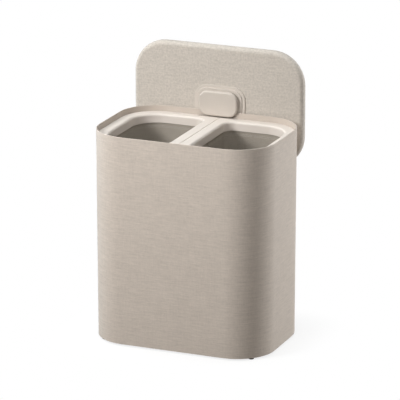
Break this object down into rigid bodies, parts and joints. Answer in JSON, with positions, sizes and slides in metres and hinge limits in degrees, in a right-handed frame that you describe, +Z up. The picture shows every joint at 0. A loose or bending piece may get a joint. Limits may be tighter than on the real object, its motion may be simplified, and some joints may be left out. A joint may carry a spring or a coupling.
{
  "type": "laundry hamper with two bins",
  "caption": "Tall hamper with rounded corners, side-by-side lift-out fabric bins and a lift-off lid that hangs on the rear wall by its knob.",
  "frame": {"origin": "middle of the footprint, hung lid included, on the surface that the feet stand on", "axes": "+Z up, +X towards the right bin, +Y towards the rear wall that the lid hangs on"},
  "size_m": [0.5278, 0.3838, 0.7836],
  "materials": {
    "linen_finish": "woven texture, matte",
    "cream_plastic": "smooth, satin",
    "knob_plastic": "smooth, satin",
    "inner_plastic": "smooth, matte",
    "rubber": "matte",
    "bag_fabric": "plain weave",
    "board_plastic": "matte",
    "webbing": "ribbed weave",
    "carbon_felt": "felt",
    "screw_steel": "bare"
  },
  "bodies": {
    "body": {"outer_shell": "linen_finish", "support_collar": "inner_plastic", "base_pan": "inner_plastic", "foot_front_left": "rubber", "foot_front_right": "rubber", "foot_rear_left": "rubber", "foot_rear_right": "rubber"},
    "left_bin": {"left_rim_frame": "cream_plastic", "left_clamp_ring": "cream_plastic", "left_bag": "bag_fabric", "left_base_board": "board_plastic", "left_strap_front": "webbing", "left_strap_rear": "webbing"},
    "right_bin": {"right_rim_frame": "cream_plastic", "right_clamp_ring": "cream_plastic", "right_bag": "bag_fabric", "right_base_board": "board_plastic", "right_strap_front": "webbing", "right_strap_rear": "webbing"},
    "lid": {"lid_shell": "linen_finish", "lid_liner": "inner_plastic", "filter_pad": "carbon_felt", "filter_door": "inner_plastic", "knob_base": "knob_plastic", "knob_handle": "knob_plastic", "knob_screw_left": "screw_steel", "knob_screw_right": "screw_steel"}
  },
  "joints": [
    {"name": "lid_lift", "type": "slide", "parent": "body", "child": "lid", "axis": [0, 0, 1], "range_m": [0, 0.2]},
    {"name": "left_bin_lift", "type": "slide", "parent": "body", "child": "left_bin", "axis": [0, 0, 1], "range_m": [0, 0.6]},
    {"name": "right_bin_lift", "type": "slide", "parent": "body", "child": "right_bin", "axis": [0, 0, 1], "range_m": [0, 0.6]}
  ]
}
